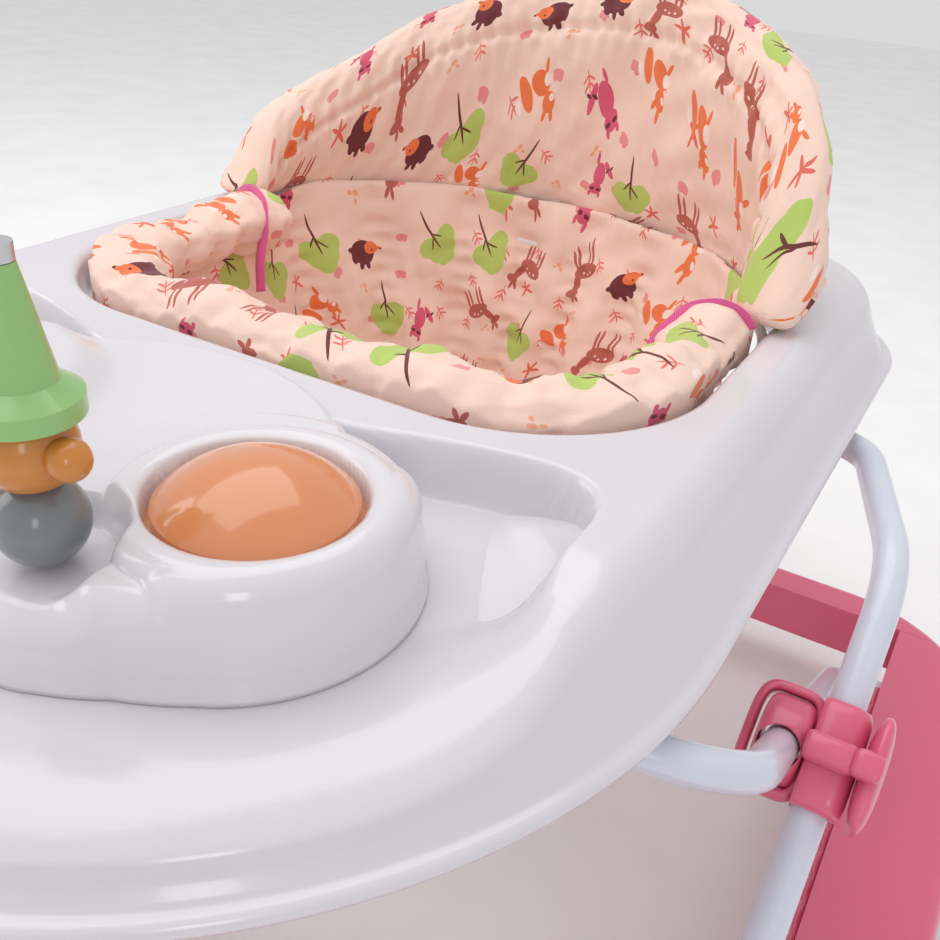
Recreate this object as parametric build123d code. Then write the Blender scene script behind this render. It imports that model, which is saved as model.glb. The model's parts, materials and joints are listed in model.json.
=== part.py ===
"""Baby walker: a wide plastic base on casters, a crossed tube frame, and a tray with a fabric seat.

Millimetres.  X is to the child's left-right, Y runs from the front (-) to the back (+), Z is up.
Inside this script Y is measured from the middle of the seat.  The written parts are moved along Y,
so that their origin is on the floor under the middle of the whole object's box.
"""
import math
import os

from build123d import *

# ---------------------------------------------------------------- driving dimensions
TRAY_TOP = 380.0          # height of the rim round the seat opening
APRON_TOP = 353.0         # lower level in front of that rim, where the toy panel stands
LIP_Z = 322.0             # lower edge of the tray's skirt
TRAY_HALF = 262.0         # half width of the tray at its lower edge
NOSE_Y = -190.0           # centre of the tray's rounded front
NOSE_LENGTH = 272.0
TRAY_REAR = 272.0
TRAY_REAR_R = 100.0
SKIRT_IN = 29.0           # how far the skirt leans in, from lower edge to top
SKIN = 3.0                # moulded wall thickness
BEAD = 3.0                # bead round the tray's lower edge stands this far out

OPEN_HALF = 202.0         # seat opening
OPEN_FRONT = -164.0
OPEN_REAR = 186.0
OPEN_R_FRONT = 105.0
OPEN_R_REAR = 118.0
COLLAR_BOTTOM = 350.0     # lower edge of the wall that lines the opening

TUBE_D = 18.0
TUBE_WALL = 1.2
RUN_FIT = 0.05            # radial running clearance of every pivot
BASE_AXIS_Z = 66.0        # height of both lower pivots
TRAY_AXIS_Z = 308.0       # height of both upper pivots
OUTER_FOOT_Y = -326.0     # outer tube: cross tube at the front of the base
OUTER_HEAD_Y = 82.0       # outer tube: stub under the tray
INNER_FOOT_Y = 170.0      # inner tube: stub in the base's side
INNER_HEAD_Y = -238.0     # inner tube: cross tube under the tray
OUTER_X = 312.0           # plane of the outer tube's legs
INNER_X = 290.0           # plane of the inner tube's legs
KNEE_Y = -42.0            # bend in the outer tube
KNEE_Z = 307.0
FOLD_DEG = 16.0           # how far the frame folds down

BASE_TOP = 84.0
BASE_BOTTOM = 42.0
BASE_INNER = 326.0        # inner edge of the side panels
BASE_OUTER = 398.0
BASE_FRONT = -440.0
BASE_REAR = 274.0
BASE_CORNER = 120.0

WHEEL_R = 19.0
WHEEL_W = 16.0
CASTER_TRAIL = 12.0

CASTERS = {
    "front_left": (-250.0, -400.0),
    "front_right": (250.0, -400.0),
    "middle_left": (-368.0, -60.0),
    "middle_right": (368.0, -60.0),
    "rear_left": (-340.0, 225.0),
    "rear_right": (340.0, 225.0),
}

DOME_X = 106.0            # light-up dome buttons on the toy panel
DOME_Y = -290.0
DOME_R = 38.0
LOBE_R = 71.0
LOBE_X = 94.0
LOBE_Y = -286.0
PANEL_TOP = 393.0
PANEL_FRONT = -378.0
TOE_X = 62.0
TOE_R = 40.0
PANEL_LOW = 382.0         # top of the panel between the lobes
STACK_X = 60.0            # spinning toys
STACK_Y = -346.0
SIDES = {"left": -1.0, "right": 1.0}


MIDDLE_Y = (TRAY_REAR + BEAD + NOSE_Y - NOSE_LENGTH - BEAD) / 2


def save(shape, name):
    """Write one sub-part under its node name, moved so that the origin is under the box's middle."""
    os.makedirs("parts", exist_ok=True)
    export_step(Pos(0, -MIDDLE_Y, 0) * shape, f"parts/{name}.step")


def save_several(shapes, name):
    """Write several separate solids under one node name, moved in the same way."""
    solids = [Pos(0, -MIDDLE_Y, 0) * solid for shape in shapes for solid in shape.solids()]
    export_step(Compound(children=solids), f"parts/{name}.step")


def block(x0, x1, y0, y1, z0, z1):
    """A box given by its limits."""
    centre = ((x0 + x1) / 2, (y0 + y1) / 2, (z0 + z1) / 2)
    return Pos(*centre) * Box(x1 - x0, y1 - y0, z1 - z0)


def rod(start, end, radius):
    """A round bar between two points."""
    start, end = Vector(*start), Vector(*end)
    plane = Plane(origin=start, z_dir=end - start)
    return extrude(plane * Circle(radius), amount=(end - start).length)


# ---------------------------------------------------------------- tray
def tray_face(inset, z):
    """Outline of the tray: straight sides, rounded rear corners and a half-ellipse nose."""
    half = TRAY_HALF - inset
    rear = TRAY_REAR - inset
    corner = TRAY_REAR_R - inset
    nose = EllipticalCenterArc((0, NOSE_Y), half, NOSE_LENGTH - inset, 180, arc_size=180)
    right = Line((half, NOSE_Y), (half, rear - corner))
    turn_right = CenterArc((half - corner, rear - corner), corner, 0, 90)
    back = Line((half - corner, rear), (corner - half, rear))
    turn_left = CenterArc((corner - half, rear - corner), corner, 90, 90)
    left = Line((-half, rear - corner), (-half, NOSE_Y))
    return Pos(0, 0, z) * make_face([nose, right, turn_right, back, turn_left, left])


def opening_face(grow, z):
    """Outline of the seat opening: a rectangle with large corner radii."""
    half = OPEN_HALF + grow
    front = OPEN_FRONT - grow
    rear = OPEN_REAR + grow
    rf = OPEN_R_FRONT + grow
    rr = OPEN_R_REAR + grow
    edges = [
        Line((rf - half, front), (half - rf, front)),
        CenterArc((half - rf, front + rf), rf, -90, 90),
        Line((half, front + rf), (half, rear - rr)),
        CenterArc((half - rr, rear - rr), rr, 0, 90),
        Line((half - rr, rear), (rr - half, rear)),
        CenterArc((rr - half, rear - rr), rr, 90, 90),
        Line((-half, rear - rr), (-half, front + rf)),
        CenterArc((rf - half, front + rf), rf, 180, 90),
    ]
    return Pos(0, 0, z) * make_face(edges)


APRON_SIDE = 205.0
APRON_STEP_Y = -208.0     # the step in front of the opening
APRON_SHOULDER_Y = -174.0


def apron_face(grow):
    """Outline of the lower level in front of the seat opening, behind the nose's own drop."""
    side = APRON_SIDE + grow
    shoulder = APRON_SHOULDER_Y + grow
    step = APRON_STEP_Y + grow
    front = APRON_STEP_Y - 60.0
    rear = FilletPolyline(
        (side, front), (side, shoulder), (150, shoulder), (78, step),
        (-78, step), (-150, shoulder), (-side, shoulder), (-side, front), radius=22)
    return make_face([rear, Line((-side, front), (side, front))])


def tray_shell():
    """Moulded tray: leaning skirt with a bead, lined seat opening and a lowered apron in front."""
    outer = loft([tray_face(0, LIP_Z), tray_face(SKIRT_IN, TRAY_TOP)], ruled=True)
    outer = fillet(outer.edges().filter_by_position(Axis.Z, TRAY_TOP - 0.1, TRAY_TOP + 0.1), 18)
    inner = loft([tray_face(SKIN, LIP_Z - 1), tray_face(SKIRT_IN + SKIN + 4, TRAY_TOP - SKIN)], ruled=True)
    drop_y = APRON_STEP_Y - 40.0
    inner -= extrude(opening_face(SKIN, COLLAR_BOTTOM), amount=TRAY_TOP - COLLAR_BOTTOM)
    inner -= Pos(0, 0, APRON_TOP - SKIN) * extrude(apron_face(SKIN), amount=TRAY_TOP)
    inner -= block(-300, 300, -500, drop_y + SKIN, APRON_TOP - SKIN, TRAY_TOP)
    shell = outer - inner
    shell -= extrude(opening_face(0, LIP_Z - 10), amount=TRAY_TOP)
    shell -= Pos(0, 0, APRON_TOP) * extrude(apron_face(0), amount=TRAY_TOP)
    shell -= block(-300, 300, -500, drop_y, APRON_TOP, TRAY_TOP + 1)
    bead = extrude(tray_face(-BEAD, LIP_Z), amount=5) - extrude(tray_face(2, LIP_Z - 1), amount=7)
    return shell + bead


def tray_bracket(side):
    """Ear under the tray with the bore for one stub of the outer tube."""
    x0, x1 = sorted((side * 208.0, side * 222.0))
    ear = block(x0, x1, OUTER_HEAD_Y - 20, OUTER_HEAD_Y + 20, TRAY_AXIS_Z - 15, TRAY_TOP - SKIN)
    bore = rod((x0 - 5, OUTER_HEAD_Y, TRAY_AXIS_Z), (x1 + 5, OUTER_HEAD_Y, TRAY_AXIS_Z), TUBE_D / 2 + RUN_FIT)
    return ear - bore


def half_span(angle):
    """Front-to-back distance between a tube's two pivots when the frame has folded by an angle."""
    reach = INNER_FOOT_Y - INNER_HEAD_Y
    rise = TRAY_AXIS_Z - BASE_AXIS_Z
    return math.hypot(reach, rise) * math.cos(math.atan2(rise, reach) - math.radians(angle))


SLOT_TRAVEL = 2 * (half_span(FOLD_DEG) - half_span(0))


def slide_rail(side):
    """Slotted rail under the apron in which the inner tube's cross tube slides forward."""
    x0, x1 = sorted((side * 110.0, side * 122.0))
    rear = INNER_HEAD_Y + 22
    front = INNER_HEAD_Y - SLOT_TRAVEL - 22
    rail = block(x0, x1, front, rear, TRAY_AXIS_Z - 17, APRON_TOP - SKIN)
    radius = TUBE_D / 2 + 0.4
    y0 = INNER_HEAD_Y - SLOT_TRAVEL - 0.5
    slot = block(x0 - 1, x1 + 1, y0, INNER_HEAD_Y, TRAY_AXIS_Z - radius, TRAY_AXIS_Z + radius)
    for y in (y0, INNER_HEAD_Y):
        slot += rod((x0 - 1, y, TRAY_AXIS_Z), (x1 + 1, y, TRAY_AXIS_Z), radius)
    return rail - slot


# ---------------------------------------------------------------- frame tubes
def tube_along(points, radii):
    """Round steel tube along straight runs joined by bends."""
    path = FilletPolyline(*points, radius=radii)
    start = Plane(origin=path @ 0, z_dir=path % 0)
    solid = sweep(start * Circle(TUBE_D / 2), path=path)
    return solid - sweep(start * Circle(TUBE_D / 2 - TUBE_WALL), path=path)


STUB_IN = 207.0           # inner end of the outer tube's stubs
STUB_OUT = 340.0          # outer end of the inner tube's stubs
HEAD_X = 272.0            # where the outer tube's upper legs turn in


def outer_tube():
    """Cross tube at the base front, legs that rise to a knee, and stubs turned in under the tray."""
    right = [(OUTER_X, OUTER_FOOT_Y, BASE_AXIS_Z), (OUTER_X, KNEE_Y, KNEE_Z),
             (HEAD_X, OUTER_HEAD_Y, TRAY_AXIS_Z), (STUB_IN, OUTER_HEAD_Y, TRAY_AXIS_Z)]
    left = [(-x, y, z) for x, y, z in right]
    return tube_along(right[::-1] + left, [30, 75, 55, 55, 75, 30])


def inner_tube():
    """Cross tube under the tray, legs down to the rear of the base, and stubs turned outwards."""
    right = [(INNER_X, INNER_HEAD_Y, TRAY_AXIS_Z), (INNER_X, INNER_FOOT_Y, BASE_AXIS_Z),
             (STUB_OUT, INNER_FOOT_Y, BASE_AXIS_Z)]
    left = [(-x, y, z) for x, y, z in right]
    return tube_along(right[::-1] + left, [26, 62, 62, 26])


# ---------------------------------------------------------------- height clamps at the crossing
LEG_ANGLE = math.atan2(KNEE_Z - BASE_AXIS_Z, KNEE_Y - OUTER_FOOT_Y)
INNER_ANGLE = math.atan2(TRAY_AXIS_Z - BASE_AXIS_Z, INNER_FOOT_Y - INNER_HEAD_Y)
CROSS_REACH = ((INNER_FOOT_Y - OUTER_FOOT_Y) * math.sin(INNER_ANGLE)
               / math.sin(LEG_ANGLE + INNER_ANGLE))
CROSS_Y = OUTER_FOOT_Y + CROSS_REACH * math.cos(LEG_ANGLE)
CROSS_Z = BASE_AXIS_Z + CROSS_REACH * math.sin(LEG_ANGLE)
CLAMP_LENGTH = 54.0
GRIP_R = 15.5
SPLIT_X = OUTER_X - TUBE_D / 2 + 0.5     # flat inner side of the sleeve
SADDLE_X = OUTER_X - TUBE_D / 2 - 0.8    # flat outer side of the saddle
LEVER_Z = 24.0            # lever pin, above the tube's axis
PIN_R = 2.0


def at_crossing(side, x, angle):
    """Frame at the crossing: local X runs along the leg, local Y outwards, local Z square to both."""
    tilt = Location((side * x, CROSS_Y, CROSS_Z), (math.degrees(angle), 0, 0))
    return tilt * Location((0, 0, 0), (0, 0, 90))


def across(side, x0, x1):
    """Large block between two distances from the middle, round one crossing."""
    near, far = sorted((side * x0, side * x1))
    return block(near, far, CROSS_Y - 70, CROSS_Y + 70, CROSS_Z - 70, CROSS_Z + 70)


def bar_y(radius, half_length, x=0.0, z=0.0):
    """Round bar along local Y, centred on the tube's axis plane."""
    return Pos(x, 0, z) * extrude(Plane.XZ * Circle(radius), amount=half_length, both=True)


def bar_x(radius, half_length):
    """Round bar along local X."""
    return extrude(Plane.YZ * Circle(radius), amount=half_length, both=True)


def height_clamp(side):
    """Sleeve on the outer tube, an ear for the lever, and a window that the inner tube passes."""
    sleeve = bar_x(GRIP_R, CLAMP_LENGTH / 2)
    ear = Pos(0, 0, LEVER_Z - 6) * Box(11, 12, 12) + bar_y(5.5, 6, 0, LEVER_Z)
    body = sleeve + ear - bar_x(TUBE_D / 2 + 0.3, CLAMP_LENGTH) - bar_y(PIN_R + RUN_FIT, 20, 0, LEVER_Z)
    body = at_crossing(side, OUTER_X, LEG_ANGLE) * body - across(side, SPLIT_X, 200)
    window = Box(CLAMP_LENGTH, 34, 12) - Box(CLAMP_LENGTH - 8, 26, 14)
    window = at_crossing(side, INNER_X, LEG_ANGLE) * window
    window -= at_crossing(side, OUTER_X, LEG_ANGLE) * bar_x(TUBE_D / 2 + 0.3, CLAMP_LENGTH)
    window -= across(side, SPLIT_X + 2, 400)
    return body + window


def saddle(side):
    """Swivelling ring in the clamp's window, through which the inner tube slides."""
    ring = bar_x(TUBE_D / 2 + 3.6, 12) - bar_x(TUBE_D / 2 + 1.6, 20)
    return at_crossing(side, INNER_X, -INNER_ANGLE) * ring - across(side, SADDLE_X, 400)


def clamp_lever(side):
    """Paddle-shaped lever that tightens the sleeve."""
    out = -side
    yoke = Pos(0, 0, LEVER_Z + 2.25) * Box(11, 24, 14.5) - Pos(0, 0, LEVER_Z - 1) * Box(12, 12.6, 14)
    neck = Pos(0, out * 16, LEVER_Z + 5) * Box(11, 9, 8)
    paddle = Pos(-2, out * 21, 8) * Box(48, 5, 40)
    paddle = fillet(paddle.edges().filter_by(Axis.Y), 9)
    lever = yoke + neck + paddle - bar_y(PIN_R + RUN_FIT, 40, 0, LEVER_Z)
    return at_crossing(side, OUTER_X, LEG_ANGLE) * lever


def clamp_pin(side):
    """Steel pin of the lever."""
    return at_crossing(side, OUTER_X, LEG_ANGLE) * bar_y(PIN_R, 12, 0, LEVER_Z)


# ---------------------------------------------------------------- base
FRONT_BAR_REAR = BASE_FRONT + 76.0       # rear edge of the front bar
SIDE_FRONT = -300.0                      # joint between front piece and side panels
REAR_BAR_FRONT = BASE_REAR - 36.0
GAP = 0.15                               # half of the joint line between base pieces
STEM_R = 5.0                             # stem of a caster
STEM_TOP = 64.0


def base_block():
    """Outer form of the whole base, with rounded upper edges."""
    centre = (BASE_REAR + BASE_FRONT) / 2
    outline = RectangleRounded(2 * BASE_OUTER, BASE_REAR - BASE_FRONT, BASE_CORNER)
    body = extrude(Pos(0, centre, BASE_BOTTOM) * outline, amount=BASE_TOP - BASE_BOTTOM)
    top = body.edges().filter_by_position(Axis.Z, BASE_TOP - 0.1, BASE_TOP + 0.1)
    body = fillet(top, 10)
    for x, y in CASTERS.values():
        body -= rod((x, y, BASE_BOTTOM - 1), (x, y, STEM_TOP + 1), STEM_R + RUN_FIT)
    return body


def base_side(side, form):
    """Side panel with the bore for the inner tube's stub and a hollow underside."""
    x0, x1 = sorted((side * BASE_INNER, side * (BASE_OUTER + 5)))
    panel = form & block(x0, x1, SIDE_FRONT + GAP, REAR_BAR_FRONT - GAP, 0, 100)
    stub = rod((side * 300, INNER_FOOT_Y, BASE_AXIS_Z),
               (side * (STUB_OUT + 1), INNER_FOOT_Y, BASE_AXIS_Z), TUBE_D / 2 + RUN_FIT)
    c0, c1 = sorted((side * (BASE_INNER + 4), side * (BASE_OUTER - 5)))
    for y0, y1 in ((SIDE_FRONT + 12, -80), (-40, INNER_FOOT_Y - 18)):
        panel -= block(c0, c1, y0, y1, BASE_BOTTOM - 1, BASE_TOP - 12)
    return panel - stub


def base_front(form):
    """Front piece of the base: the bar and both front corners."""
    piece = form & block(-500, 500, BASE_FRONT - 5, SIDE_FRONT - GAP, 0, 100)
    piece -= block(-BASE_INNER, BASE_INNER, FRONT_BAR_REAR, SIDE_FRONT + 5, 0, 100)
    return piece - block(-200, 200, BASE_FRONT + 5, FRONT_BAR_REAR - 5, BASE_BOTTOM - 1, BASE_TOP - 12)


def base_rear(form):
    """Rear bar of the base with both rear corners."""
    piece = form & block(-500, 500, REAR_BAR_FRONT + GAP, BASE_REAR + 5, 0, 100)
    return piece - block(-250, 250, REAR_BAR_FRONT + 5, BASE_REAR - 5, BASE_BOTTOM - 1, BASE_TOP - 12)


def tube_clip(x):
    """Clip that holds the outer tube's cross tube behind the front bar and lets it turn."""
    clip = block(x - 11, x + 11, FRONT_BAR_REAR + 0.05, OUTER_FOOT_Y + 15, BASE_AXIS_Z - 14, BASE_AXIS_Z + 14)
    clip = fillet(clip.edges().filter_by(Axis.X), 6)
    bore = rod((x - 12, OUTER_FOOT_Y, BASE_AXIS_Z), (x + 12, OUTER_FOOT_Y, BASE_AXIS_Z), TUBE_D / 2 + RUN_FIT)
    return clip - bore


def grip_strip(x, y, length, depth):
    """Rubber strip under the base that drags if a wheel drops over an edge."""
    return block(x - length / 2, x + length / 2, y - depth / 2, y + depth / 2, BASE_BOTTOM - 5, BASE_BOTTOM - 0.02)


# ---------------------------------------------------------------- casters
CHEEK_IN = WHEEL_W / 2 + 0.8
CHEEK_OUT = 12.5
AXLE_R = 2.5


def caster_fork(x, y):
    """Plate with two cheeks and the stem that swivels in the base."""
    wheel_y = y + CASTER_TRAIL
    fork = block(x - CHEEK_OUT, x + CHEEK_OUT, y - 9, wheel_y + 14, 2 * WHEEL_R + 0.8, BASE_BOTTOM - 0.4)
    for side in SIDES.values():
        x0, x1 = sorted((x + side * CHEEK_IN, x + side * CHEEK_OUT))
        fork += rod((x0, wheel_y, WHEEL_R), (x1, wheel_y, WHEEL_R), 9)
        fork += block(x0, x1, wheel_y - 9, wheel_y + 9, WHEEL_R, BASE_BOTTOM - 1)
    fork += rod((x, y, BASE_BOTTOM - 1), (x, y, STEM_TOP), STEM_R)
    return fork - rod((x - 20, wheel_y, WHEEL_R), (x + 20, wheel_y, WHEEL_R), AXLE_R)


def caster_wheel(x, y):
    """Moulded wheel with rounded tread edges."""
    wheel_y = y + CASTER_TRAIL
    wheel = rod((x - WHEEL_W / 2, wheel_y, WHEEL_R), (x + WHEEL_W / 2, wheel_y, WHEEL_R), WHEEL_R)
    wheel = fillet(wheel.edges(), 2.5)
    return wheel - rod((x - 20, wheel_y, WHEEL_R), (x + 20, wheel_y, WHEEL_R), AXLE_R + RUN_FIT)


def caster_axle(x, y):
    """Steel axle of one wheel."""
    wheel_y = y + CASTER_TRAIL
    return rod((x - CHEEK_OUT, wheel_y, WHEEL_R), (x + CHEEK_OUT, wheel_y, WHEEL_R), AXLE_R)


# ---------------------------------------------------------------- toy panel
PANEL_BOTTOM = APRON_TOP + 0.3
PANEL_WALL = 2.5
COLLAR_R = 47.0
SPINDLE_R = 3.0
POCKET_R = 21.0           # pocket in the lobe's edge for the lower toy ball


def panel_outline(inset):
    """Smooth outline that wraps two round lobes and two smaller rounds in front of them."""
    edges = []
    for side in SIDES.values():
        edges += (Pos(side * LOBE_X, LOBE_Y) * Circle(LOBE_R - inset)).edges()
        edges += (Pos(side * TOE_X, PANEL_FRONT + TOE_R) * Circle(TOE_R - inset)).edges()
    return make_face(make_hull(edges).edges())


def toy_panel():
    """Moulded panel: low middle, two raised lobes with collars, hollow underneath."""
    low = PANEL_LOW - PANEL_BOTTOM
    high = PANEL_TOP - PANEL_BOTTOM
    body = Pos(0, 0, PANEL_BOTTOM) * extrude(panel_outline(0), amount=low)
    room = Pos(0, 0, PANEL_BOTTOM - 1) * extrude(panel_outline(PANEL_WALL), amount=low + 1 - PANEL_WALL)
    for side in SIDES.values():
        lobe = rod((side * LOBE_X, LOBE_Y, PANEL_BOTTOM), (side * LOBE_X, LOBE_Y, PANEL_TOP), LOBE_R)
        lobe = fillet(lobe.edges().filter_by_position(Axis.Z, PANEL_TOP - 0.1, PANEL_TOP + 0.1), 9)
        body += lobe
        body += rod((side * DOME_X, DOME_Y, PANEL_TOP - 1), (side * DOME_X, DOME_Y, PANEL_TOP + 5), COLLAR_R)
        room += rod((side * LOBE_X, LOBE_Y, PANEL_BOTTOM - 1),
                    (side * LOBE_X, LOBE_Y, PANEL_TOP - PANEL_WALL), LOBE_R - 9)
        pocket = (side * STACK_X, STACK_Y)
        body -= rod((*pocket, PANEL_LOW), (*pocket, 450), POCKET_R)
        room -= rod((*pocket, PANEL_LOW - PANEL_WALL), (*pocket, 450), POCKET_R + PANEL_WALL)
        body += rod((*pocket, PANEL_LOW - 1), (*pocket, GREY_Z - 15.3), 8)
    body -= room
    for side in SIDES.values():
        body -= rod((side * DOME_X, DOME_Y, PANEL_LOW), (side * DOME_X, DOME_Y, 450), DOME_R + 0.5)
        body -= rod((side * STACK_X, STACK_Y, 360), (side * STACK_X, STACK_Y, 400), SPINDLE_R)
    return body


def panel_cover():
    """Flat cover that closes the panel from below."""
    return Pos(0, 0, PANEL_BOTTOM) * extrude(panel_outline(PANEL_WALL + 0.3), amount=2.0)


def dome_button(side):
    """Translucent dome with the flange that keeps it in the panel."""
    rise = 17.0
    radius = (DOME_R ** 2 + rise ** 2) / (2 * rise)
    skirt_top = PANEL_TOP + 3
    ball = Pos(side * DOME_X, DOME_Y, skirt_top + rise - radius) * Sphere(radius)
    cap = ball & Pos(side * DOME_X, DOME_Y, skirt_top + 50) * Box(100, 100, 100)
    under = PANEL_TOP - PANEL_WALL
    skirt = rod((side * DOME_X, DOME_Y, under - 3), (side * DOME_X, DOME_Y, skirt_top), DOME_R)
    flange = rod((side * DOME_X, DOME_Y, under - 3), (side * DOME_X, DOME_Y, under - 0.3), DOME_R + 3)
    hollow = rod((side * DOME_X, DOME_Y, under - 4), (side * DOME_X, DOME_Y, skirt_top), DOME_R - 3)
    hollow -= rod((side * DOME_X, DOME_Y, under - 4), (side * DOME_X, DOME_Y, skirt_top), 10)
    return cap + skirt + flange - hollow


def dome_spring(side):
    """Return spring of a dome, as the ring that the wire fills."""
    low, high = PANEL_BOTTOM + 4.0, PANEL_TOP - PANEL_WALL - 3.02
    outer = rod((side * DOME_X, DOME_Y, low), (side * DOME_X, DOME_Y, high), 8)
    return outer - rod((side * DOME_X, DOME_Y, low - 1), (side * DOME_X, DOME_Y, high + 1), 6.5)


def circuit_board(side):
    """Board with the switch and lamp under a dome."""
    x0, x1 = sorted((side * (DOME_X - 24), side * (DOME_X + 24)))
    return block(x0, x1, DOME_Y - 20, DOME_Y + 20, PANEL_BOTTOM + 2.02, PANEL_BOTTOM + 3.9)


def speaker():
    """Flat speaker in the middle of the panel."""
    z = PANEL_BOTTOM + 2.1
    return rod((0, -300, z), (0, -300, z + 3), 19) + rod((0, -300, z), (0, -300, z + 8), 12)


def spindle(side):
    """Steel spindle of a stack of spinning toys, with a head on top."""
    x = side * STACK_X
    foot = PANEL_BOTTOM + 2.1
    pin = rod((x, STACK_Y, foot), (x, STACK_Y, CONE_TOP + 3), SPINDLE_R)
    pin += rod((x, STACK_Y, CONE_TOP + 0.3), (x, STACK_Y, CONE_TOP + 6), 5.5)
    return pin


BALL_R = 16.5
GREY_Z = 399.5
ORANGE_Z = 428.0
BRIM_Z = 440.0
CONE_TOP = 490.0


def toy_ball(side, z, half_height):
    """Ball cut flat above and below, so that it stacks."""
    x = side * STACK_X
    ball = Pos(x, STACK_Y, z) * Sphere(BALL_R)
    ball = ball & Pos(x, STACK_Y, z) * Box(60, 60, 2 * half_height)
    return ball - rod((x, STACK_Y, z - 30), (x, STACK_Y, z + 30), SPINDLE_R + RUN_FIT)


def eared_ball(side):
    """Upper ball with two round ears."""
    x = side * STACK_X
    ball = toy_ball(side, ORANGE_Z, 11.5)
    for ear in SIDES.values():
        ball += Pos(x + ear * 19, STACK_Y, ORANGE_Z + 1) * Sphere(7.5)
    return ball - rod((x, STACK_Y, ORANGE_Z - 30), (x, STACK_Y, ORANGE_Z + 30), SPINDLE_R + RUN_FIT)


def toy_cone(side):
    """Flared cone that tops the stack."""
    x = side * STACK_X
    profile = Polyline((3.05, BRIM_Z), (20, BRIM_Z), (20, BRIM_Z + 7), (13, BRIM_Z + 12),
                       (5.5, CONE_TOP), (3.05, CONE_TOP), (3.05, BRIM_Z))
    cone = revolve(Plane.XZ * make_face(profile), Axis.Z)
    return Pos(x, STACK_Y, 0) * cone


# ---------------------------------------------------------------- battery compartment
BOX_X = 46.0
BOX_Y0, BOX_Y1 = -345.0, -268.0
BOX_Z0, BOX_Z1 = 333.0, APRON_TOP - SKIN - 0.02
CELL_R = 7.2


def battery_box():
    """Open-bottomed box under the tray for three cells."""
    box = block(-BOX_X, BOX_X, BOX_Y0, BOX_Y1, BOX_Z0, BOX_Z1)
    return box - block(2 - BOX_X, BOX_X - 2, BOX_Y0 + 2, BOX_Y1 - 2, BOX_Z0 - 1, BOX_Z1 - 2)


def battery_cells():
    """Three cells side by side."""
    z = BOX_Z1 - 2.2 - CELL_R
    return [rod((-26, y, z), (26, y, z), CELL_R) for y in (-328, -307, -286)]


def battery_door():
    """Cover that slides forward off the box."""
    return block(-BOX_X, BOX_X, BOX_Y0 - 3, BOX_Y1, BOX_Z0 - 2.3, BOX_Z0 - 0.3)


# ---------------------------------------------------------------- seat
RING_Z = 353.45
BOLSTER_Z = 376.0
BOLSTER_R = 18.0
BOLSTER_IN = 25.0
SLING_TOP = 360.0
SLING_BOTTOM = 176.0


def seat_ring():
    """Plastic ring inside the opening that carries the fabric."""
    path = opening_face(-7, RING_Z).face().outer_wire()
    start = Plane(origin=path @ 0, z_dir=path % 0)
    return sweep(start * Circle(3.5), path=path)


def ring_hook(x, y, turn):
    """Clip that holds the seat ring up to the lower edge of the opening's wall."""
    clip = Box(14, 16, 3) + Pos(5.5, 0, 5) * Box(3, 16, 10)
    return Pos(x, y, COLLAR_BOTTOM - 1.6) * Rot(0, 0, turn) * clip


def seat_bolster():
    """Padded roll along the front and both sides of the opening."""
    half = OPEN_HALF - BOLSTER_IN
    front = OPEN_FRONT + BOLSTER_IN
    rear = BACK_Y - 3
    path = FilletPolyline((half, rear, BOLSTER_Z), (half, front, BOLSTER_Z),
                          (-half, front, BOLSTER_Z), (-half, rear, BOLSTER_Z),
                          radius=OPEN_R_FRONT - BOLSTER_IN)
    start = Plane(origin=path @ 0, z_dir=path % 0)
    return sweep(start * Circle(BOLSTER_R), path=path)


SLING_Y = 11.0
SLING_HALF = (191.2, 164.2)
SLING_CUT = 100.0         # corner radius that the bucket's flat panels follow
LEG_X = (20.0, 104.0)     # leg holes
LEG_Z = (190.0, 274.0)


def sling_ring():
    """Corners of the bucket's rim, relative to its middle: straight sides and two chords per corner."""
    half_x, half_y = SLING_HALF
    ring = []
    for turn in range(4):
        sx, sy = ((1, 1), (-1, 1), (-1, -1), (1, -1))[turn]
        for step in range(3):
            angle = math.radians(90 * turn + 45 * step)
            ring.append((sx * (half_x - SLING_CUT) + SLING_CUT * math.cos(angle),
                         sy * (half_y - SLING_CUT) + SLING_CUT * math.sin(angle)))
    return ring


def sling_form(scale, bottom):
    """Bucket form with flat panels, tapered to half its size at the bottom."""
    faces = []
    for z, size in ((SLING_TOP, scale), (bottom, 0.5 * scale)):
        points = [(size * x, SLING_Y + size * y, z) for x, y in sling_ring()]
        faces.append(make_face(Polyline(*points, points[0])))
    return loft(faces, ruled=True)


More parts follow.
